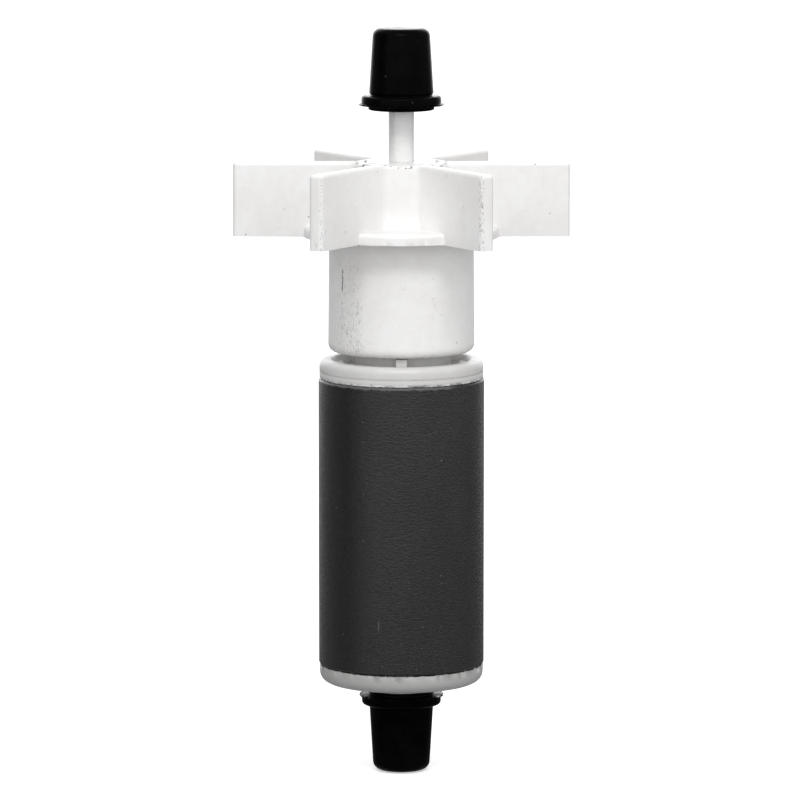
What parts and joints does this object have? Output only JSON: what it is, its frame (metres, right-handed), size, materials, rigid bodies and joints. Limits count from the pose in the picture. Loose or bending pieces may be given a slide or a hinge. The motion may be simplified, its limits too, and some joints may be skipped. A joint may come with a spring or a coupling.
{
  "type": "pump rotor and impeller",
  "caption": "Magnet rotor and bladed paddle impeller on a ceramic shaft between two rubber end mounts, the wet running part of an aquarium pump.",
  "frame": {"origin": "centre of the lower rubber mount's closed end, on the shaft's axis", "axes": "+Z along the shaft, from the rotor towards the impeller; +X along one impeller blade"},
  "size_m": [0.0392, 0.035, 0.0875],
  "materials": {
    "white_plastic": "satin",
    "carrier_plastic": "satin",
    "bearing_plastic": "satin",
    "rubber": "satin",
    "ferrite": "matte",
    "white_ceramic": "gloss"
  },
  "bodies": {
    "lower_mount": {"lower_rubber_mount": "rubber"},
    "shaft": {"ceramic_shaft": "white_ceramic"},
    "float_washer": {"lower_thrust_washer": "white_ceramic"},
    "rotor": {"rotor_carrier": "carrier_plastic", "rotor_cap": "white_plastic", "magnet": "ferrite", "magnet_top_ring": "carrier_plastic", "rotor_upper_bush": "bearing_plastic", "rotor_lower_bush": "bearing_plastic", "drive_dog": "white_plastic", "dog_pad_leading": "rubber", "dog_pad_trailing": "rubber", "coupling_washer": "white_ceramic"},
    "wheel": {"impeller": "white_plastic", "impeller_bush": "bearing_plastic", "cup_cover_ring": "white_plastic", "upper_thrust_washer": "white_ceramic"},
    "upper_mount": {"upper_rubber_mount": "rubber"}
  },
  "joints": [
    {"name": "shaft_pull_out", "type": "slide", "parent": "lower_mount", "child": "shaft", "axis": [0, 0, 1], "range_m": [0, 0.008]},
    {"name": "rotor_float", "type": "slide", "parent": "shaft", "child": "float_washer", "axis": [0, 0, 1], "range_m": [0, 0.0055]},
    {"name": "rotor_spin", "type": "hinge", "parent": "float_washer", "child": "rotor", "pos_m": [0, 0, 0.03], "axis": [0, 0, 1], "continuous": true},
    {"name": "wheel_lost_motion", "type": "hinge", "parent": "rotor", "child": "wheel", "pos_m": [0, 0, 0.065], "axis": [0, 0, 1], "range_deg": [-128, 128]},
    {"name": "upper_mount_pull_off", "type": "slide", "parent": "shaft", "child": "upper_mount", "axis": [0, 0, 1], "range_m": [0, 0.008]}
  ]
}
